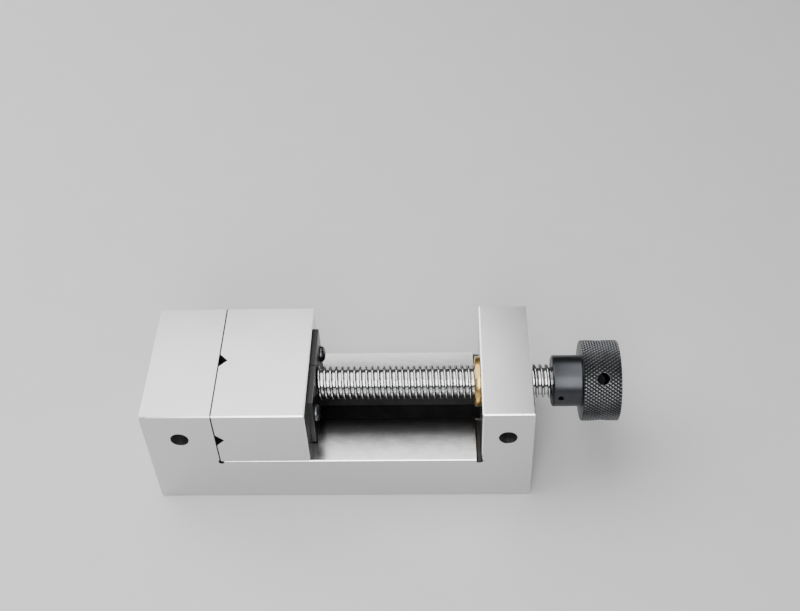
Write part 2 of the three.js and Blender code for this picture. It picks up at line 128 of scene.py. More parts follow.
def prism(name, outline, axis, a, b, slot=0):
    """A polygon extruded along an axis from a to b. The outline's pairs are the other two coordinates, in x, y, z order."""
    n = len(outline)
    place = {"x": lambda t, p, q: (t, p, q), "y": lambda t, p, q: (p, t, q), "z": lambda t, p, q: (p, q, t)}[axis]
    points = [place(t, p, q) for t in (a, b) for p, q in outline]
    faces = [list(range(n)), list(range(n, 2 * n))]
    faces += [[i, (i + 1) % n, (i + 1) % n + n, i + n] for i in range(n)]
    return mesh_object(name, points, faces, slot)


def box(name, x0, x1, y0, y1, z0, z1, slot=0):
    return prism(name, [(x0, y0), (x1, y0), (x1, y1), (x0, y1)], "z", z0, z1, slot)


def turned(name, profile, axis="x", centre=(0.0, None), n=96, slot=0, closed=False, phase=0.0):
    """A solid of revolution from (distance along the axis, radius) pairs. centre is the other two coordinates."""
    c0, c1 = centre
    c1 = AXIS_Z if c1 is None else c1
    points, rings = [], []
    for t, r in profile:
        ring = []
        for k in range(1 if r < 1e-9 else n):
            a = 2 * math.pi * k / n + phase
            u, v = c0 + r * math.cos(a), c1 + r * math.sin(a)
            ring.append(len(points))
            points.append({"x": (t, u, v), "y": (u, t, v), "z": (u, v, t)}[axis])
        rings.append(ring)
    faces = []
    pairs = list(zip(rings, rings[1:])) + ([(rings[-1], rings[0])] if closed else [])
    for a, b in pairs:
        if len(a) == 1 and len(b) == 1:
            continue
        for k in range(n):
            m = (k + 1) % n
            if len(a) == 1:
                faces.append([a[0], b[k], b[m]])
            elif len(b) == 1:
                faces.append([a[k], b[0], a[m]])
            else:
                faces.append([a[k], b[k], b[m], a[m]])
    return mesh_object(name, points, faces, slot)


def rod(name, a, b, profile, n=48, slot=0, turn=0.0):
    """A turned solid along the line from a to b: profile is (distance from a, radius) pairs."""
    a, b = Vector(a), Vector(b)
    d = (b - a).normalized()
    side = d.orthogonal().normalized()
    up = d.cross(side)
    points, rings = [], []
    for t, r in profile:
        ring = []
        for k in range(1 if r < 1e-9 else n):
            w = 2 * math.pi * k / n + turn
            p = a + d * t + side * (r * math.cos(w)) + up * (r * math.sin(w))
            ring.append(len(points))
            points.append(tuple(p))
        rings.append(ring)
    faces = []
    for p, q in zip(rings, rings[1:]):
        for k in range(n):
            m = (k + 1) % n
            if len(p) == 1:
                faces.append([p[0], q[k], q[m]])
            elif len(q) == 1:
                faces.append([p[k], q[0], p[m]])
            else:
                faces.append([p[k], q[k], q[m], p[m]])
    return mesh_object(name, points, faces, slot)


def hexagon(name, a, b, flats, depth, slot=0):
    """A hexagon socket from a towards b, with the drill's cone at its bottom."""
    r = flats / math.sqrt(3)
    return rod(name, a, b, [(0, 0), (0, r), (depth, r), (depth + flats * 0.22, 0)], 6, slot)


def wedge(p, q, n1, n2, c, slot=1):
    """What a chamfer of width c takes off the edge from p to q, whose faces look along n1 and n2."""
    p, q, n1, n2 = Vector(p), Vector(q), Vector(n1), Vector(n2)
    corners = [n1 * (-c - 1) + n2, n1 - n2 * (c + 1), n1 + n2]
    points = [tuple(end + k) for end in (p, q) for k in corners]
    faces = [[0, 1, 2], [3, 4, 5], [0, 1, 4, 3], [1, 2, 5, 4], [2, 0, 3, 5]]
    return mesh_object("wedge", points, faces, slot)


def settle(o):
    """Applies an object's modifiers to its mesh."""
    graph = bpy.context.evaluated_depsgraph_get()
    graph.update()
    me = bpy.data.meshes.new_from_object(o.evaluated_get(graph), preserve_all_data_layers=True, depsgraph=graph)
    old = o.data
    o.modifiers.clear()
    o.data = me
    me.name = o.name
    bpy.data.meshes.remove(old)


def boolean(o, tools, operation="DIFFERENCE"):
    for t in tools:
        m = o.modifiers.new("cut", "BOOLEAN")
        m.operation = operation
        m.object = t
        m.solver = "MANIFOLD"
    # every object needs the same slots, so that a tool's faces keep their slot's number
    settle(o)
    for t in tools:
        me = t.data
        bpy.data.objects.remove(t)
        bpy.data.meshes.remove(me)


def slots(o, *materials):
    for m in materials:
        o.data.materials.append(m)


def tidy(o, bevel=0.0, segments=2, angle=30.0, smooth=32.0, flat=0.4):
    """Merges coplanar facets, rounds the edges sharper than angle and shades the rest smooth."""
    bm = bmesh.new()
    bm.from_mesh(o.data)
    bmesh.ops.remove_doubles(bm, verts=bm.verts, dist=2e-7)
    bmesh.ops.dissolve_degenerate(bm, edges=bm.edges, dist=1e-7)
    if flat:
        bmesh.ops.dissolve_limit(
            bm, angle_limit=math.radians(flat), verts=bm.verts, edges=bm.edges, delimit={"MATERIAL"}
        )
    bm.to_mesh(o.data)
    bm.free()
    if bevel:
        m = o.modifiers.new("bevel", "BEVEL")
        m.width = bevel * 0.001
        m.segments = segments
        m.limit_method = "ANGLE"
        m.angle_limit = math.radians(angle)
        m.use_clamp_overlap = True
        m.miter_outer = "MITER_ARC"
        settle(o)
    for p in o.data.polygons:
        p.use_smooth = True
    o.data.set_sharp_from_angle(angle=math.radians(smooth))
    if bevel:
        m = o.modifiers.new("normals", "WEIGHTED_NORMAL")
        m.keep_sharp = True
        m.weight = 90
        settle(o)


# ---------------------------------------------------------------- materials
class Shader:
    """A node material under construction. Sockets are given as node outputs, numbers or tuples."""

    def __init__(self, name):
        self.material = bpy.data.materials.new(name)
        self.material.use_nodes = True
        self.tree = self.material.node_tree
        self.tree.nodes.clear()
        self.out = self.tree.nodes.new("ShaderNodeOutputMaterial")
        self.bsdf = self.tree.nodes.new("ShaderNodeBsdfPrincipled")
        self.tree.links.new(self.bsdf.outputs["BSDF"], self.out.inputs["Surface"])
        self.coords = self.tree.nodes.new("ShaderNodeTexCoord")

    def put(self, socket, value):
        if isinstance(value, bpy.types.NodeSocket):
            self.tree.links.new(value, socket)
        else:
            socket.default_value = value

    def node(self, kind, inputs=(), **settings):
        n = self.tree.nodes.new(kind)
        for k, v in settings.items():
            setattr(n, k, v)
        for k, v in dict(inputs).items():
            self.put(n.inputs[k], v)
        return n

    def math(self, operation, *values, clamp=False):
        n = self.node("ShaderNodeMath", operation=operation, use_clamp=clamp)
        for k, v in enumerate(values):
            self.put(n.inputs[k], v)
        return n.outputs[0]

    def vector(self, operation, *values):
        n = self.node("ShaderNodeVectorMath", operation=operation)
        for k, v in enumerate(values):
            self.put(n.inputs[k], v)
        return n.outputs["Value" if operation in ("LENGTH", "DOT_PRODUCT") else "Vector"]

    def noise(self, vector, scale=1.0, detail=2.0, roughness=0.5, distortion=0.0):
        n = self.node(
            "ShaderNodeTexNoise",
            {"Vector": vector, "Scale": scale, "Detail": detail, "Roughness": roughness, "Distortion": distortion},
        )
        return n.outputs["Fac"]

    def spread(self, value, low, high, to_low=0.0, to_high=1.0, smooth=False):
        n = self.node("ShaderNodeMapRange", clamp=True)
        n.interpolation_type = "SMOOTHSTEP" if smooth else "LINEAR"
        for k, v in enumerate((value, low, high, to_low, to_high)):
            self.put(n.inputs[k], v)
        return n.outputs[0]

    def mix(self, factor, a, b):
        n = self.node("ShaderNodeMix", data_type="RGBA")
        self.put(n.inputs[0], factor)
        self.put(n.inputs[6], a)
        self.put(n.inputs[7], b)
        return n.outputs[2]

    def stretched(self, scales):
        """Object coordinates in metres, multiplied along each axis."""
        return self.vector("MULTIPLY", self.coords.outputs["Object"], scales)

    def bump(self, height, distance, strength=1.0, normal=None):
        inputs = {"Height": height, "Distance": distance, "Strength": strength}
        if normal is not None:
            inputs["Normal"] = normal
        return self.node("ShaderNodeBump", inputs).outputs["Normal"]

    def axis_radius(self):
        """Distance from the screw's axis, in metres."""
        p = self.vector("SUBTRACT", self.coords.outputs["Object"], (0.0, 0.0, AXIS_Z * 0.001))
        return self.vector("LENGTH", self.vector("MULTIPLY", p, (0.0, 1.0, 1.0)))

    def set(self, **inputs):
        for k, v in inputs.items():
            self.put(self.bsdf.inputs[k.replace("_", " ")], v)
        return self.material


def rgb(r, g=None, b=None):
    return (r, r if g is None else g, r if b is None else b, 1.0)


def ground_steel(name, tone, rough, marks=1.0, painted_slot_shade=False):
    """Surface-ground hardened steel: fine parallel wheel marks, along X on the long faces and along Y on the end faces."""
    s = Shader(name)
    n = s.node("ShaderNodeSeparateXYZ", {"Vector": s.coords.outputs["Normal"]}).outputs["X"]
    end_face = s.math("GREATER_THAN", s.math("ABSOLUTE", n), 0.6)

    def streaks(along, across, detail):
        m = s.node("ShaderNodeMix", data_type="VECTOR")
        s.put(m.inputs[0], end_face)
        s.put(m.inputs[4], s.stretched((along, across, across)))
        s.put(m.inputs[5], s.stretched((across, along, across)))
        return s.noise(m.outputs[1], 1.0, detail, 0.65)

    coarse = streaks(60.0, 1500.0, 3.0)
    fine = streaks(320.0, 7000.0, 2.0)
    cloud = s.noise(s.stretched((1.0, 1.0, 1.0)), 34.0, 3.0, 0.55)
    speck = s.noise(s.stretched((1.0, 1.0, 1.0)), 2600.0, 1.0, 0.5)
    shade = s.math("ADD", s.math("MULTIPLY", coarse, 0.55), s.math("MULTIPLY", fine, 0.45))
    colour = s.mix(s.spread(shade, 0.32, 0.68), rgb(tone * 0.95, tone * 0.955, tone * 0.94), rgb(tone * 1.035, tone * 1.04, tone * 1.025))
    colour = s.mix(s.spread(cloud, 0.3, 0.75, 0.0, 0.35), colour, rgb(tone * 0.97, tone * 0.975, tone * 0.985))
    colour = s.mix(s.spread(speck, 0.70, 0.78, 0.0, 0.3), colour, rgb(tone * 0.55))
    roughness = s.math(
        "ADD", s.spread(shade, 0.3, 0.7, rough - 0.03, rough + 0.03), s.spread(cloud, 0.3, 0.7, -0.015, 0.02)
    )
    if painted_slot_shade:
        # painted shade along both sides of the slot, on the bed's upward faces only: it darkens the bed's colour to
        # stand in for the bed's dark reflection of the screw's shaded underside
        place = s.node("ShaderNodeSeparateXYZ", {"Vector": s.coords.outputs["Object"]})
        mottle = s.noise(s.stretched((1.0, 2.2, 1.0)), 260.0, 4.0, 0.65)
        off = s.math("ADD", s.math("ABSOLUTE", place.outputs["Y"]), s.spread(cloud, 0.25, 0.75, -0.0012, 0.0012))
        off = s.math("ADD", off, s.spread(mottle, 0.3, 0.7, -0.0012, 0.0012))
        shade_band = s.spread(off, 0.0130, 0.0345, 1.0, 0.0, True)
        level = s.spread(place.outputs["Z"], BED * 0.001 + 0.0002, BED * 0.001 + 0.0004, 1.0, 0.0)
        facing = s.node("ShaderNodeSeparateXYZ", {"Vector": s.coords.outputs["Normal"]}).outputs["Z"]
        level = s.math("MULTIPLY", level, s.spread(facing, 0.5, 0.6, 0.0, 1.0))
        painted_shade = s.math("MULTIPLY", s.math("MULTIPLY", shade_band, level), 0.95)
        # painted shade: the bed's colour falls towards a tenth of its tone at the slot's edges
        colour = s.mix(painted_shade, colour, rgb(tone * 0.1, tone * 0.097, tone * 0.097))
    height = s.math("ADD", fine, s.math("MULTIPLY", coarse, 0.25))
    return s.set(
        Base_Color=colour, Metallic=1.0, Roughness=roughness, Normal=s.bump(height, 0.35e-6 * marks, 1.0)
    )


def edge_steel(name, tone, rough):
    """The narrow stoned chamfers, a little brighter than the ground faces."""
    s = Shader(name)
    n = s.noise(s.stretched((160.0, 160.0, 160.0)), 1.0, 4.0, 0.6)
    fine = s.noise(s.stretched((900.0, 900.0, 900.0)), 1.0, 2.0, 0.6)
    colour = s.mix(s.spread(n, 0.3, 0.7), rgb(tone * 0.93), rgb(min(0.98, tone * 1.05)))
    return s.set(
        Base_Color=colour,
        Metallic=1.0,
        Roughness=s.spread(fine, 0.3, 0.7, rough - 0.05, rough + 0.07),
        Normal=s.bump(fine, 4e-6, 0.8),
    )


def bored_steel(name, tone, rough, axis):
    """Drilled or milled walls, with tool marks around or along one axis."""
    s = Shader(name)
    scales = {"x": (7000.0, 90.0, 90.0), "y": (90.0, 7000.0, 90.0), "z": (90.0, 90.0, 7000.0)}[axis]
    rings = s.noise(s.stretched(scales), 1.0, 2.0, 0.6)
    wave = s.noise(s.stretched(tuple(v * 0.2 for v in scales)), 1.0, 2.0, 0.5)
    stain = s.noise(s.stretched((1.0, 1.0, 1.0)), 130.0, 4.0, 0.6)
    colour = s.mix(s.spread(rings, 0.3, 0.7), rgb(tone * 0.8), rgb(tone * 1.15))
    colour = s.mix(s.spread(stain, 0.45, 0.75, 0.0, 0.5), colour, rgb(tone * 0.45, tone * 0.43, tone * 0.4))
    return s.set(
        Base_Color=colour,
        Metallic=1.0,
        Roughness=s.spread(wave, 0.3, 0.7, rough - 0.06, rough + 0.08),
        Normal=s.bump(s.math("ADD", rings, wave), 9e-6, 1.0),
    )


def thread_steel(name):
    """Bright rolled and polished thread with turning marks, slightly rougher roots, flanks darkened with painted shade
    and small dark specks.
    """
    s = Shader(name)
    r = s.axis_radius()
    marks = s.noise(s.stretched((9000.0, 240.0, 240.0)), 1.0, 2.0, 0.6)
    flaw = s.noise(s.stretched((420.0, 420.0, 420.0)), 1.0, 4.0, 0.6)
    patch = s.noise(s.stretched((1.0, 1.0, 1.0)), 120.0, 2.0, 0.5)
    speck = s.noise(s.stretched((1.0, 1.0, 1.0)), 1900.0, 2.0, 0.55)
    root = s.spread(r, MINOR * 0.001 + 0.0001, MINOR * 0.001 + 0.0007, 1.0, 0.0, True)
    rise = s.spread(r, MINOR * 0.001 + 0.00006, MINOR * 0.001 + 0.00028, 0.0, 1.0, True)
    flank = s.math("MULTIPLY", rise, s.spread(r, MAJOR * 0.001 - 0.00026, MAJOR * 0.001 - 0.00007, 1.0, 0.0, True))
    dots = s.math("MULTIPLY", s.spread(speck, 0.64, 0.70), s.spread(patch, 0.46, 0.58))
    colour = s.mix(s.spread(flaw, 0.3, 0.7), rgb(0.52, 0.525, 0.53), rgb(0.68, 0.685, 0.69))
    # painted shade: the flanks' colour is darkened, standing in for the dark reflections they catch from the sides
    colour = s.mix(s.math("MULTIPLY", flank, 0.7), colour, rgb(0.14, 0.135, 0.13))
    colour = s.mix(s.math("MULTIPLY", dots, 0.85), colour, rgb(0.06, 0.055, 0.05))
    roughness = s.math(
        "ADD",
        s.spread(marks, 0.3, 0.7, 0.09, 0.17),
        s.math("ADD", s.math("MULTIPLY", root, 0.05), s.math("MULTIPLY", dots, 0.35)),
    )
    height = s.math("SUBTRACT", s.math("ADD", marks, s.math("MULTIPLY", flaw, 1.5)), s.math("MULTIPLY", dots, 4.0))
    return s.set(Base_Color=colour, Metallic=1.0, Roughness=roughness, Normal=s.bump(height, 4e-6, 1.0))


def bronze(name):
    """Turned bronze: concentric tool marks on the flange's face, slight tarnish."""
    s = Shader(name)
    r = s.axis_radius()
    x = s.node("ShaderNodeSeparateXYZ", {"Vector": s.coords.outputs["Object"]}).outputs["X"]
    where = s.node("ShaderNodeCombineXYZ", {"X": s.math("MULTIPLY", r, 6500.0), "Y": s.math("MULTIPLY", x, 6500.0)})
    marks = s.noise(where.outputs[0], 1.0, 2.0, 0.6)
    tarnish = s.noise(s.stretched((1.0, 1.0, 1.0)), 210.0, 4.0, 0.6)
    colour = s.mix(s.spread(tarnish, 0.32, 0.7), rgb(0.61, 0.395, 0.125), rgb(0.38, 0.225, 0.065))
    colour = s.mix(s.spread(marks, 0.35, 0.7, 0.0, 0.35), colour, rgb(0.80, 0.60, 0.27))
    return s.set(
        Base_Color=colour,
        Metallic=1.0,
        Roughness=s.spread(tarnish, 0.3, 0.7, 0.2, 0.34),
        Normal=s.bump(marks, 6e-6, 1.0),
    )


def black_oxide(name, tone=0.052, rough=0.36, worn_from=None, worn_to=None, turning=(7000.0, 160.0, 160.0)):
    """Oiled black oxide on turned steel. Where a radius is given, the tips beyond it are rubbed brighter."""
    s = Shader(name)
    marks = s.noise(s.stretched(turning), 1.0, 2.0, 0.6)
    cloud = s.noise(s.stretched((1.0, 1.0, 1.0)), 95.0, 4.0, 0.6)
    grain = s.noise(s.stretched((1.0, 1.0, 1.0)), 4200.0, 2.0, 0.6)
    colour = s.mix(
        s.spread(cloud, 0.3, 0.72), rgb(tone * 0.85, tone * 0.9, tone), rgb(tone * 1.2, tone * 1.24, tone * 1.32)
    )
    colour = s.mix(s.spread(grain, 0.62, 0.75, 0.0, 0.4), colour, rgb(tone * 2.0))
    roughness = s.math("ADD", s.spread(cloud, 0.3, 0.7, rough - 0.05, rough + 0.06), s.spread(grain, 0.3, 0.7, -0.03, 0.03))
    if worn_from is not None:
        r = s.axis_radius()
        tip = s.math("MULTIPLY", s.spread(r, worn_from * 0.001, worn_to * 0.001), s.spread(cloud, 0.34, 0.62, 0.35, 1.0))
        colour = s.mix(tip, colour, rgb(0.21, 0.215, 0.22))
    height = s.math("ADD", marks, s.math("MULTIPLY", grain, 0.8))
    return s.set(Base_Color=colour, Metallic=1.0, Roughness=roughness, Normal=s.bump(height, 5e-6, 1.0))


GROUND = ground_steel("ground_steel_faces", 0.63, 0.22, 1.6)
EDGES = edge_steel("stoned_edges", 0.86, 0.22)
# the body's material carries the painted shade beside the slot
BED_GROUND = ground_steel("ground_steel_body", 0.61, 0.22, 1.6, True)
BORES = bored_steel("drilled_holes", 0.10, 0.5, "y")
SIDE_BORES = bored_steel("side_holes", 0.38, 0.4, "y")
MILLED = bored_steel("scaled_slot", 0.24, 0.42, "x")
RELIEF = bored_steel("oily_relief_groove", 0.06, 0.55, "y")
THREAD = thread_steel("bright_thread")
BRONZE = bronze("turned_bronze")
KNOB_BLACK = black_oxide("knob_black", worn_from=HEAD_R - 0.36, worn_to=HEAD_R - 0.02)
SCREW_BLACK = black_oxide("screw_black", 0.05, 0.33)
BUTTON_BLACK = black_oxide("button_head_black", 0.11, 0.27)
HOLE_BLACK = black_oxide("hole_black", 0.012, 0.5)
RIM = edge_steel("worn_rim", 0.3, 0.34)
PIN = black_oxide("oily_pin", 0.03, 0.4)
PLATE = ground_steel("dark_plate", 0.036, 0.34, 1.6)
PLATE_EDGE = edge_steel("dark_plate_edges", 0.13, 0.30)
SPRING = edge_steel("bright_spring", 0.5, 0.26)


# ---------------------------------------------------------------- pieces
def done(o, body, *nodes, slot=None):
    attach(o, body)
    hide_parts(*nodes)
    return o


def rounded(x0, x1, y0, y1, r, steps=14):
    out = []
    for cx, cy, start in ((x1 - r, y0 + r, -90), (x1 - r, y1 - r, 0), (x0 + r, y1 - r, 90), (x0 + r, y0 + r, 180)):
        for i in range(steps + 1):
            t = math.radians(start + 90 * i / steps)
            out.append((cx + r * math.cos(t), cy + r * math.sin(t)))
    return out


def side_hole(x, s, depth):
    """A drilled blind hole in a side: a chamfered mouth and the drill's cone at the bottom."""
    return rod(
        "hole", (x, s * (HALF + 1), AXIS_Z), (x, 0, AXIS_Z),
        [(0, 0), (0, SIDE_HOLE_R + 1.06), (1.06, SIDE_HOLE_R), (1 + depth, SIDE_HOLE_R), (3 + depth, 0)], 96, 5,
    )


def make_body():
    c = EDGE
    o = prism(
        "vise_body_ground",
        [(c, 0), (LENGTH - c, 0), (LENGTH, c), (LENGTH, TOP - c), (LENGTH - c, TOP), (END + c, TOP), (END, TOP - c),
         (END, BED), (FIXED, BED), (FIXED, TOP - JOINT), (FIXED - JOINT, TOP), (c, TOP), (0, TOP - c), (0, c)],
        "y", -HALF, HALF,
    )
    # the profile's own short edges are chamfers
    for p in o.data.polygons:
        if abs(p.normal.y) < 0.1 and 0.3 < abs(p.normal.x) < 0.9:
            joint = abs(p.center.x * 1000 - X0 - FIXED) < 1 and p.center.z > 0.04
            p.material_index = 4 if joint else 1
    cuts = []
    for s in (-1, 1):
        y, side = s * HALF, (0, s, 0)
        cuts += [
            wedge((-1, y, TOP), (FIXED + 1, y, TOP), side, (0, 0, 1), c),
            wedge((END - 1, y, TOP), (LENGTH + 1, y, TOP), side, (0, 0, 1), c),
            wedge((-1, y, 0), (LENGTH + 1, y, 0), side, (0, 0, -1), c),
            wedge((FIXED, y, BED), (END, y, BED), side, (0, 0, 1), 0.3),
            wedge((0, y, -1), (0, y, TOP + 1), side, (-1, 0, 0), c),
            wedge((LENGTH, y, -1), (LENGTH, y, TOP + 1), side, (1, 0, 0), c),
            wedge((FIXED, y, BED), (FIXED, y, TOP + 1), side, (1, 0, 0), JOINT, 4),
            wedge((END, y, BED), (END, y, TOP + 1), side, (-1, 0, 0), c),
        ]
    relief = [(FIXED + 0.4 + 1.3 * math.cos(t), BED - 0.35 + 1.3 * math.sin(t)) for t in np.linspace(0, 2 * math.pi, 37)[:-1]]
    cuts.append(prism("relief", relief, "y", -HALF - 1, HALF + 1, 4))
    cuts.append(
        prism(
            "undercut",
            [(END - 2.2, BED + 0.1), (END - 2.2, BED - 1.3), (END - 1.6, BED - 1.9), (END - 0.3, BED - 1.9),
             (END + 0.9, BED - 0.7), (END - 0.02, BED + 0.5)],
            "y", -HALF - 1, HALF + 1, 4,
        )
    )
    cuts.append(prism("slot_under", rounded(22, 147, -SLOT, SLOT, SLOT - 0.2), "z", CHANNEL_Z - 1, BED, 3))
    cuts.append(prism("channel", rounded(17, 147, -CHANNEL, CHANNEL, 6), "z", -1, CHANNEL_Z, 4))
    cuts.append(box("slot", FIXED + 3, END, -SLOT, SLOT, CHANNEL_Z, BED + 1, 3))
    cuts.append(turned("nut_bore", [(END - 1, 0), (END - 1, 9.3), (LENGTH + 1, 9.3), (LENGTH + 1, 0)], n=128, slot=2))
    cuts.append(turned("lock_bore", [(-1, 0), (-1, 2.8 + 1.2), (0.4, 2.8), (AXIS_Z - 8, 2.8), (AXIS_Z - 8, 0)], "z", (152.5, 0), 64, 2))
    for s in (-1, 1):
        cuts.append(side_hole(FIXED / 2, s, 12))
        cuts.append(side_hole((END + LENGTH) / 2, s, 15))
    for t in [o, *cuts]:
        slots(t, BED_GROUND, EDGES, BORES, MILLED, RELIEF, SIDE_BORES)
    boolean(o, cuts)
    tidy(o, 0.07, 2)
    return done(o, "vise", "vise_body", slot="ground_steel")


def helix(name, x0, x1, rows, limit, caps, n=72, slot=0):
    """A right-hand single-start thread about the screw's axis. rows are (distance from the crest's middle, radius) over
    one pitch, limit(x) is the largest radius at x, and caps are the turned profiles before x0 and after x1."""
    first = math.floor((x0 - PITCH) / PITCH) - 1
    last = math.ceil(x1 / PITCH) + 2
    per = len(rows)
    lines = [(m * PITCH + PHASE + dx, r) for m in range(first, last + 1) for dx, r in rows]
    count = len(lines)
    points = np.zeros((count, n, 3))
    for j in range(n):
        a = 2 * math.pi * j / n
        for i, (base, r) in enumerate(lines):
            x = min(max(base + PITCH * j / n, x0), x1)
            rr = min(r, limit(x))
            points[i, j] = (x, rr * math.cos(a), AXIS_Z + rr * math.sin(a))
    faces = []
    for i in range(count - 1):
        for j in range(n):
            if j < n - 1:
                quad = [i * n + j, i * n + j + 1, (i + 1) * n + j + 1, (i + 1) * n + j]
            else:
                if i + 1 + per >= count:
                    continue
                quad = [i * n + j, (i + per) * n, (i + 1 + per) * n, (i + 1) * n + j]
            p = points.reshape(-1, 3)[quad]
            if p[:, 0].max() - p[:, 0].min() < 1e-7 and (p[0, 0] <= x0 + 1e-7 or p[0, 0] >= x1 - 1e-7):
                continue
            faces.append(quad)
    pts = points.reshape(-1, 3).tolist()
    for profile in caps:
        rings = []
        for x, r in profile:
            ring = []
            for j in range(1 if r < 1e-9 else n):
                a = 2 * math.pi * j / n
                ring.append(len(pts))
                pts.append((x, r * math.cos(a), AXIS_Z + r * math.sin(a)))
            rings.append(ring)
        for p, q in zip(rings, rings[1:]):
            for j in range(n):
                m = (j + 1) % n
                if len(q) == 1:
                    faces.append([p[j], p[m], q[0]])
                else:
                    faces.append([p[j], p[m], q[m], q[j]])
    o = mesh_object(name, pts, faces, slot)
    bm = bmesh.new()
    bm.from_mesh(o.data)
    bmesh.ops.delete(bm, geom=[v for v in bm.verts if not v.link_faces], context="VERTS")
    bm.to_mesh(o.data)
    bm.free()
    return o


def thread_rows(minor, major, crest, flank, round_=0.07):
    half, foot = crest / 2, crest / 2 + flank
    side = [
        (0.0, major), (half - round_, major), (half - 0.02, major - 0.02), (half + 0.03, major - 0.09),
        (foot - 0.05, minor + 0.12), (foot, minor + 0.03), (foot + 0.09, minor),
    ]
    rows = [(-dx, r) for dx, r in reversed(side[1:])] + side
    rows.append((PITCH / 2, minor))
    return rows


def make_screw():
    rows = thread_rows(MINOR, MAJOR, CREST, FLANK)

    def limit(x):
        return min(MINOR - 0.07 + 7.0 * (x - SCREW0), MINOR - 0.02 + 3.0 * (SCREW1 - x), MAJOR)

    neck = 4.6
    collar = 6.6
    nose = J1 - 11.4 + 4 - 0.2
    caps = [
        [(SCREW0, limit(SCREW0)), (SCREW0, neck + 0.2), (SCREW0 - 0.2, neck), (J1 - 0.3, neck), (J1 - 0.3, collar - 0.1),
         (J1 - 0.4, collar), (nose + 0.5, collar), (nose, collar - 0.5), (nose, 0)],
        [(SCREW1, limit(SCREW1)), (SCREW1, 5.1), (SCREW1 + 0.1, 5.0), (HUB0 + 15.5, 5.0), (HUB0 + 16, 4.5), (HUB0 + 16, 0)],
    ]
    o = helix("lead_screw_thread", SCREW0, SCREW1, rows, limit, caps, 80)
    slots(o, THREAD)
    tidy(o, 0, smooth=40, flat=0)
    return done(o, "screw", "lead_screw", slot="screw_steel")


def make_nut():
    o = turned(
        "lead_nut_bronze",
        [(NUT0, 0), (NUT0, FLANGE_R - 0.5), (NUT0 + 0.12, FLANGE_R - 0.2), (NUT0 + 0.45, FLANGE_R), (END - 0.3, FLANGE_R),
         (END - 0.05, FLANGE_R - 0.2), (END - 0.02, 9.0), (NUT1 - 0.3, 9.0), (NUT1, 8.7), (NUT1, 0)],
        n=160,
    )
    slope = 2 * FLANK / (MAJOR - MINOR)
    rows = thread_rows(MINOR + 0.3, MAJOR + 0.3, CREST + 0.3 - slope * 0.3, FLANK, 0.05)
    tool = helix(
        "nut_thread", NUT0 - 1, NUT1 + 1, rows, lambda x: 20.0 if NUT0 - 0.99 < x < NUT1 + 0.99 else 5.0,
        [[(NUT0 - 1, 5.0), (NUT0 - 1, 0)], [(NUT1 + 1, 5.0), (NUT1 + 1, 0)]], 72, 1,
    )
    mouth = MAJOR + 0.5
    slots(o, BRONZE, BRONZE)
    tools = [
        tool,
        turned("mouth_in", [(NUT0 - 1, 0), (NUT0 - 1, mouth + 1), (NUT0 + 1.6, MINOR - 0.3), (NUT0 + 1.6, 0)], n=96),
        turned("mouth_out", [(NUT1 - 1.6, 0), (NUT1 - 1.6, MINOR - 0.3), (NUT1 + 1.2, mouth + 1), (NUT1 + 1.2, 0)], n=96),
    ]
    for t in tools:
        slots(t, BRONZE, BRONZE)
    boolean(o, tools)
    tidy(o, 0, smooth=34, flat=0.2)
    return done(o, "vise", "lead_nut", slot="bronze")


def make_jaw():
    c, z0, vee = EDGE, BED + 0.02, 3.6
    vz = BED + 14.5
    o = prism(
        "movable_jaw_ground",
        [(J0 + 0.6, z0), (J1 - 0.3, z0), (J1, z0 + 0.3), (J1, TOP - c), (J1 - c, TOP), (J0 + JOINT, TOP), (J0, TOP - JOINT),
         (J0, vz + vee), (J0 + vee, vz), (J0, vz - vee), (J0, z0 + 0.6)],
        "y", -HALF, HALF,
    )
    for p in o.data.polygons:
        if abs(p.normal.y) < 0.1 and 0.3 < abs(p.normal.x) < 0.9:
            width = p.area / 0.06 * 1000
            joint = p.center.z > 0.054 and abs(p.center.x * 1000 - X0 - J0) < 1
            p.material_index = 4 if joint else 1 if width < 2 else 2
    cuts = []
    for s in (-1, 1):
        y = s * HALF
        cuts += [
            wedge((J0 - 1, y, TOP), (J1 + 1, y, TOP), (0, s, 0), (0, 0, 1), c),
            wedge((J1, y, z0 - 1), (J1, y, TOP + 1), (0, s, 0), (1, 0, 0), c),
            wedge((J0, y, z0 - 1), (J0, y, TOP + 1), (0, s, 0), (-1, 0, 0), JOINT, 4),
        ]
    cuts.append(
        prism("vee", [(J0 - 1, -vee), (J0 - 0.001, -vee), (J0 + vee, 0), (J0 - 0.001, vee), (J0 - 1, vee)], "z", z0 - 1, TOP + 1, 2)
    )
    ball = J1 - 11.4 - 4 - 0.8
    cuts.append(
        turned("pocket", [(ball, 0), (ball, 4.3), (J1 - 11.4, 4.3), (J1 - 11.4, 6.9), (J1 + 1, 6.9), (J1 + 1, 0)], n=96, slot=2)
    )
    for y in (BUTTON_Y, -BUTTON_Y):
        cuts.append(turned("tapped", [(J1 - 12, 0), (J1 - 12, 2.3), (J1 + 1, 2.3), (J1 + 1, 0)], "x", (y, AXIS_Z), 48, 2))
    tongue = box("tongue", J0 + 3.5, J1 - 3.5, -SLOT + 0.3, SLOT - 0.3, CHANNEL_Z + 0.3, z0 + 1)
    slots(o, GROUND, EDGES, BORES, MILLED, RELIEF)
    slots(tongue, GROUND, EDGES, BORES, MILLED, RELIEF)
    boolean(o, [tongue], "UNION")
    for x in (J0 + 9.9, J1 - 9.9):
        cuts.append(turned("tapped_z", [(CHANNEL_Z - 1, 0), (CHANNEL_Z - 1, 2.8), (31, 2.8), (31, 0)], "z", (x, 0), 48, 2))
    for t in cuts:
        slots(t, GROUND, EDGES, BORES, MILLED, RELIEF)
    boolean(o, cuts)
    tidy(o, 0.07, 2)
    return done(o, "jaw", "movable_jaw", slot="ground_steel")


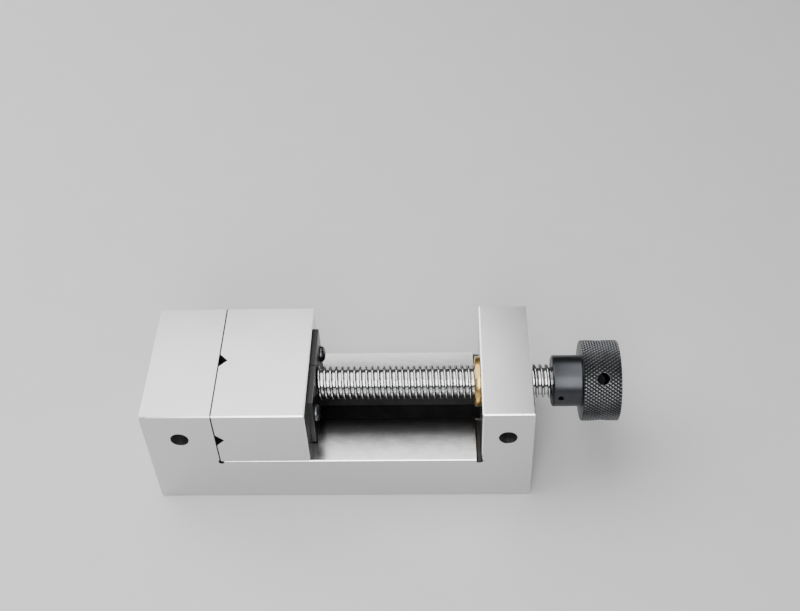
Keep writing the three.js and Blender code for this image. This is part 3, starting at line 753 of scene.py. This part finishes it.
def make_plate(side, s):
    lo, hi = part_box("retainer_plate_" + side)
    x0, x1 = local(lo.x), local(hi.x)
    ya, yb = lo.y * 1000, hi.y * 1000
    za, zb = lo.z * 1000, hi.z * 1000
    c = 0.35
    o = box("retainer_plate_" + side + "_dark", x0, x1, ya, yb, za, zb)
    cuts = [
        wedge((x1, ya - 1, zb), (x1, yb + 1, zb), (0, 0, 1), (1, 0, 0), c),
        wedge((x1, ya - 1, za), (x1, yb + 1, za), (0, 0, -1), (1, 0, 0), c),
        wedge((x1, s * REACH, za - 1), (x1, s * REACH, zb + 1), (0, s, 0), (1, 0, 0), c),
        wedge((x1, s * 0.15, za - 1), (x1, s * 0.15, zb + 1), (0, -s, 0), (1, 0, 0), 0.15),
        turned("neck", [(x0 - 1, 0), (x0 - 1, 5.0), (x1 - 0.3, 5.0), (x1 + 1, 6.3), (x1 + 1, 0)], n=96, slot=1),
        turned("clearance", [(x0 - 1, 0), (x0 - 1, 2.3), (x1 + 1, 2.3), (x1 + 1, 0)], "x", (-s * BUTTON_Y, AXIS_Z), 48, 1),
    ]
    slots(o, PLATE, PLATE_EDGE)
    for t in cuts:
        slots(t, PLATE, PLATE_EDGE)
    boolean(o, cuts)
    tidy(o, 0.05, 2)
    done(o, "jaw", "retainer_plate_" + side, slot="plate_steel")

    h0 = x1 + 0.02
    dome = [(h0 + 0.45 + 1.65 * math.sin(t), 1.35 + 2.13 * math.cos(t)) for t in np.radians(np.linspace(0, 90, 15))]
    head = turned(
        "retainer_screw_" + side + "_button",
        [(h0 - 12, 0), (h0 - 12, 1.5), (h0 - 11.5, 1.98), (h0 - 0.25, 1.98), (h0 - 0.1, 2.1), (h0, 2.4), (h0, 3.38), (h0 + 0.12, 3.5)]
        + dome + [(h0 + 2.1, 0)],
        "x", (-s * BUTTON_Y, AXIS_Z), 96,
    )
    socket = [hexagon("hex", (h0 + 3.0, -s * BUTTON_Y, AXIS_Z), (h0, -s * BUTTON_Y, AXIS_Z), 2.5, 2.2, 1)]
    slots(head, BUTTON_BLACK, HOLE_BLACK)
    slots(socket[0], BUTTON_BLACK, HOLE_BLACK)
    boolean(head, socket)
    tidy(head, 0.04, 2, angle=40, smooth=36)
    done(head, "jaw", "retainer_screw_" + side, slot="black_steel")


def make_keeper():
    x0, x1 = local(keeper_lo.x), local(keeper_hi.x)
    y0, y1 = keeper_lo.y * 1000, keeper_hi.y * 1000
    z0, z1 = keeper_lo.z * 1000, keeper_hi.z * 1000
    o = prism(
        "keeper_plate_dark",
        [(x0, z0 + 0.5), (x0 + 0.5, z0), (x1 - 0.5, z0), (x1, z0 + 0.5), (x1, z1 - 0.3), (x1 - 0.3, z1), (x0 + 0.3, z1), (x0, z1 - 0.3)],
        "y", y0, y1,
    )
    cuts = []
    for s in (-1, 1):
        y = s * y1
        cuts.append(wedge((x0 - 1, y, z0), (x1 + 1, y, z0), (0, s, 0), (0, 0, -1), 0.5))
        for x, nx in ((x0, -1), (x1, 1)):
            cuts.append(wedge((x, y, z0 - 1), (x, y, z1 + 1), (0, s, 0), (nx, 0, 0), 0.6))
    xs = {"left": J0 + 9.9, "right": J1 - 9.9}
    for x in xs.values():
        cuts.append(
            turned("seat", [(z0 - 1, 0), (z0 - 1, 6.1), (z0 + 0.2, 5.0), (z0 + 5.4, 5.0), (z0 + 5.4, 2.8), (z1 + 1, 2.8), (z1 + 1, 0)], "z", (x, 0), 72, 1)
        )
    slots(o, PLATE, PLATE_EDGE)
    for t in cuts:
        slots(t, PLATE, PLATE_EDGE)
    boolean(o, cuts)
    tidy(o, 0.06, 2)
    done(o, "jaw", "keeper_plate", slot="plate_steel")

    for side, x in xs.items():
        lo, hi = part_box("keeper_screw_" + side)
        under = lo.z * 1000 + 4
        top = hi.z * 1000
        cap = turned(
            "keeper_screw_" + side + "_cap",
            [(under - 4, 0), (under - 4, 3.75), (under - 3.9, 3.95), (under - 3.6, 4.2), (under - 0.15, 4.2), (under, 4.05),
             (under, 2.7), (under + 0.2, 2.48), (top - 0.4, 2.48), (top, 2.1), (top, 0)],
            "z", (x, 0), 96,
        )
        tools = [hexagon("hex", (x, 0, under - 5), (x, 0, under), 4.0, 3.4, 1)]
        # the fine straight knurl round the head
        for k in range(36):
            a = 2 * math.pi * k / 36
            p = (x + 4.26 * math.cos(a), 4.26 * math.sin(a))
            tools.append(rod("flute", (*p, under - 4.4), (*p, under - 0.3), [(0, 0), (0, 0.17), (4.0, 0.17), (4.1, 0)], 8))
        slots(cap, SCREW_BLACK, HOLE_BLACK)
        for t in tools:
            slots(t, SCREW_BLACK, HOLE_BLACK)
        boolean(cap, tools)
        tidy(cap, 0, smooth=34, flat=0.2)
        done(cap, "jaw", "keeper_screw_" + side, slot="black_steel")
        for place in ("upper", "lower"):
            node = f"disc_spring_{side}_{place}"
            slo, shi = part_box(node)
            a, b = slo.z * 1000, shi.z * 1000
            up = place == "upper"
            t, inner, outer = 0.7, 2.75, 4.7
            zi, zo = (b - 0.35, b) if up else (b, b - 0.35)
            e = 0.08
            profile = [
                (zi, inner + e), (zo, outer - e), (zo - e, outer), (zo - t + e, outer), (zo - t, outer - e),
                (zi - t, inner + e), (zi - t + e, inner), (zi - e, inner),
            ]
            spring = turned(node + "_dished", profile, "z", (x, 0), 96, closed=True)
            slots(spring, SPRING)
            tidy(spring, 0, smooth=34, flat=0)
            done(spring, "jaw", node, slot="spring_steel")


def make_small():
    lo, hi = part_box("thrust_ball")
    c = [(a + b) / 2 * 1000 for a, b in zip(lo, hi)]
    r = (hi.z - lo.z) * 500
    xc = c[0] - X0
    profile = [(xc + r * math.cos(t), r * math.sin(t)) for t in np.linspace(math.pi, 0, 33)]
    profile[0], profile[-1] = (xc - r, 0), (xc + r, 0)
    ball = turned("thrust_ball_polished", profile, "x", (0, AXIS_Z), 64)
    slots(ball, SPRING)
    tidy(ball, 0, flat=0)
    done(ball, "jaw", "thrust_ball", slot="spring_steel")

    lo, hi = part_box("nut_lock_screw")
    a, b = lo.z * 1000, hi.z * 1000
    lock = turned(
        "nut_lock_screw_black",
        [(a, 0), (a, 2.2), (a + 0.3, 2.5), (b - 1, 2.5), (b, 1.4), (b, 0)], "z", (152.5, 0), 64,
    )
    hexes = [hexagon("hex", (152.5, 0, a - 1), (152.5, 0, b), 2.5, 3.6, 1)]
    slots(lock, SCREW_BLACK, HOLE_BLACK)
    slots(hexes[0], SCREW_BLACK, HOLE_BLACK)
    boolean(lock, hexes)
    tidy(lock, 0.04, 2, angle=40)
    done(lock, "vise", "nut_lock_screw", slot="black_steel")


def knurled(name, x0, x1, radius, around, along, depth, flat):
    """A closed cylinder along the screw's axis whose wall is a diamond knurl: rows of four-sided points with flat tips."""
    step = along / 2
    count = int(math.ceil((x1 - x0) / step)) + 4
    start = x0 - 2 * step
    bottom = radius - depth
    points, faces, corner = [], [], {}

    def put(s, d, r):
        a = math.pi * s / around
        points.append((start + d * step, r * math.cos(a), AXIS_Z + r * math.sin(a)))
        return len(points) - 1

    def node(s, d):
        key = (s % (2 * around), d)
        if key not in corner:
            corner[key] = put(key[0], d, bottom)
        return corner[key]

    for s in range(2 * around):
        for d in range(1, count):
            if (s + d) % 2 == 0:
                continue
            low = [node(s - 1, d), node(s, d - 1), node(s + 1, d), node(s, d + 1)]
            tips = [put(s - flat, d, radius), put(s, d - flat, radius), put(s + flat, d, radius), put(s, d + flat, radius)]
            faces.append(tips)
            for k in range(4):
                m = (k + 1) % 4
                faces.append([low[k], low[m], tips[m], tips[k]])
    me = bpy.data.meshes.new(name)
    me.from_pydata(to_row(points).tolist(), [], faces)
    bm = bmesh.new()
    bm.from_mesh(me)
    for x, n in ((x0, -1), (x1, 1)):
        geometry = list(bm.verts) + list(bm.edges) + list(bm.faces)
        bmesh.ops.bisect_plane(
            bm, geom=geometry, dist=1e-8, plane_co=((x + X0) * 0.001, 0, 0), plane_no=(n, 0, 0), clear_outer=True
        )
    bmesh.ops.remove_doubles(bm, verts=bm.verts, dist=1e-7)
    bmesh.ops.triangulate(bm, faces=bm.faces)
    # each end is closed by a fan from a point on the axis
    ends = [e for e in bm.edges if e.is_boundary]
    for x in (x0, x1):
        at = (x + X0) * 0.001
        rim = [e for e in ends if abs(e.verts[0].co.x - at) < 1e-6 and abs(e.verts[1].co.x - at) < 1e-6]
        hub = bm.verts.new((at, 0, AXIS_Z * 0.001))
        for e in rim:
            bm.faces.new((e.verts[0], e.verts[1], hub))
    bmesh.ops.recalc_face_normals(bm, faces=bm.faces)
    bm.to_mesh(me)
    bm.free()
    o = bpy.data.objects.new(name, me)
    collection.objects.link(o)
    return o


def make_knob():
    head = knurled("knob_black_knurled", HEAD0 - 0.2, KNOB1 + 0.2, HEAD_R, 68, 2.18, 0.42, 0.3)
    shape = [(HEAD0, 0), (HEAD0, HEAD_R - 0.6)]
    shape += [(HEAD0 + 0.45 - 0.45 * math.cos(t), HEAD_R - 0.45 + 0.45 * math.sin(t)) for t in np.radians((25, 45, 65, 90))]
    shape += [(KNOB1 - 0.5 + 0.5 * math.sin(t), HEAD_R - 0.5 + 0.5 * math.cos(t)) for t in np.radians((0, 22, 45, 68, 90))]
    shape += [(KNOB1, 12.0), (KNOB1 - 0.25, 11.7), (KNOB1 - 0.25, 0)]
    blank = turned("blank", shape, n=192)
    hub = turned(
        "hub",
        [(HUB0, 0), (HUB0, HUB_R - 0.7), (HUB0 + 0.2, HUB_R - 0.25), (HUB0 + 0.65, HUB_R), (HEAD0 - 0.25, HUB_R), (HEAD0 - 0.07, HUB_R + 0.07),
         (HEAD0, HUB_R + 0.25), (HEAD0 + 1, HUB_R + 0.25), (HEAD0 + 1, 0)],
        n=192,
    )
    holes = [turned("bore", [(HUB0 - 1, 0), (HUB0 - 1, 5.3), (HUB0 + 16.4, 5.3), (HUB0 + 18, 0)], n=96, slot=1)]
    for turn in (0, 90, 180, 270):
        b = math.radians(TOMMY_ANGLE + turn)
        d = Vector((0, -math.cos(b), math.sin(b)))
        a = Vector((TOMMY_X, 0, AXIS_Z))
        holes.append(rod("tommy", a + d * (HEAD_R + 1), a, [(0, 0), (0, TOMMY_R), (HEAD_R - 1.5 + turn * 0.001, TOMMY_R), (HEAD_R - 1.2, 0)], 64, 1))
        holes.append(rod("sink", a + d * (HEAD_R + 1), a, [(0, 0), (0, TOMMY_R + 1.6), (1.62, TOMMY_R - 0.02), (1.62, 0)], 64, 2))
    b = math.radians(TOMMY_ANGLE - 45)
    d = Vector((0, -math.cos(b), math.sin(b)))
    a = Vector((PIN_X, 0, AXIS_Z))
    holes.append(rod("pin_hole", a - d * 12, a + d * 12, [(0, 0), (0, 1.2), (24, 1.2), (24, 0)], 48, 1))
    everything = [head, blank, hub, *holes]
    for t in everything:
        slots(t, KNOB_BLACK, HOLE_BLACK, RIM)
    boolean(head, [blank], "INTERSECT")
    boolean(head, [hub], "UNION")
    boolean(head, holes)
    tidy(head, 0, smooth=22, flat=0.1)
    done(head, "screw", "knob", slot="black_steel")

    # a rolled spring pin, open along one side, just under the hub's surface at both ends
    outer, inner, gap = 1.12, 0.62, math.radians(24)
    n = 40
    side = d.orthogonal().normalized()
    up = d.cross(side)
    points, faces = [], []
    for t in (-10.15, -9.95, 9.95, 10.15):
        for r0 in (outer, inner):
            r = r0 - (0.12 if abs(t) > 10 and r0 == outer else 0)
            for k in range(n + 1):
                w = gap / 2 + (2 * math.pi - gap) * k / n
                points.append(tuple(a + d * t + side * (r * math.cos(w)) + up * (r * math.sin(w))))
    ring = n + 1
    for level in range(3):
        for k in range(n):
            for shell in (0, 1):
                i = (level * 2 + shell) * ring + k
                j = ((level + 1) * 2 + shell) * ring + k
                faces.append([i, i + 1, j + 1, j])
        for k in (0, n):
            i, j = level * 2 * ring + k, (level + 1) * 2 * ring + k
            faces.append([i, j, j + ring, i + ring])
    for level in (0, 3):
        for k in range(n):
            i = level * 2 * ring + k
            faces.append([i, i + 1, i + 1 + ring, i + ring])
    pin = mesh_object("knob_pin_rolled", points, faces)
    slots(pin, PIN)
    tidy(pin, 0, smooth=34, flat=0)
    done(pin, "screw", "knob_pin", slot="spring_steel")


make_body()
make_nut()
make_jaw()
make_plate("front", -1)
make_plate("rear", 1)
make_keeper()
make_small()
make_screw()
make_knob()

# ---------------------------------------------------------------- floor, light and camera
floor_material = Shader("pale_floor")
floor_noise = floor_material.noise(floor_material.stretched((1.0, 1.0, 1.0)), 40.0, 3.0, 0.5)
floor_material.set(
    Base_Color=floor_material.mix(floor_noise, rgb(0.60), rgb(0.63)),
    Roughness=0.62,
    Normal=floor_material.bump(floor_noise, 2e-5, 0.2),
)
me = bpy.data.meshes.new("floor")
me.from_pydata([(-3, -3, -0.0001), (3, -3, -0.0001), (3, 3, -0.0001), (-3, 3, -0.0001)], [], [[0, 1, 2, 3]])
me.materials.append(floor_material.material)
floor = bpy.data.objects.new("floor", me)
collection.objects.link(floor)


def softbox(name, place, aim, width, height, watts, colour=(1.0, 1.0, 1.0)):
    light = bpy.data.lights.new(name, "AREA")
    light.shape = "RECTANGLE"
    light.size, light.size_y = width, height
    light.energy = watts
    light.color = colour
    o = bpy.data.objects.new(name, light)
    collection.objects.link(o)
    o.location = place
    o.rotation_mode = "QUATERNION"
    o.rotation_quaternion = (Vector(aim) - Vector(place)).to_track_quat("-Z", "Y")


softbox("ceiling", (-0.62, 0.25, 1.0), (-0.62, 0.25, 0.0), 1.5, 1.4, 23.5)
softbox("key", (-0.05, -0.80, 0.76), (0.0, 0.0, 0.03), 0.45, 0.90, 10.5)
softbox("right", (0.78, 0.62, 0.13), (0.0, 0.0, 0.05), 0.50, 0.20, 0.7)
softbox("left", (-0.78, 0.64, 0.13), (0.0, 0.0, 0.05), 0.50, 0.20, 1.6)

world = bpy.data.worlds.new("studio")
world.use_nodes = True
world.node_tree.nodes["Background"].inputs[0].default_value = (0.95, 0.97, 1.0, 1.0)
world.node_tree.nodes["Background"].inputs[1].default_value = 0.10
bpy.context.scene.world = world

camera_data = bpy.data.cameras.new("camera")
camera_data.sensor_width = 36.0
camera_data.sensor_fit = "HORIZONTAL"
camera_data.lens = 51.93
camera_data.shift_x = 0.0077
camera_data.shift_y = -0.0056
camera_data.clip_start, camera_data.clip_end = 0.02, 20.0
camera = bpy.data.objects.new("camera", camera_data)
collection.objects.link(camera)
right = Vector((0.999057, 0.020758, -0.038143))
down = Vector((-0.011481, -0.720835, -0.693012))
forward = Vector((-0.04188, 0.692796, -0.719917))
view = Matrix((right, -down, -forward)).transposed().to_4x4()
view.translation = Vector((0.02507, -0.31566, 0.41775))
camera.matrix_world = view
bpy.context.scene.camera = camera
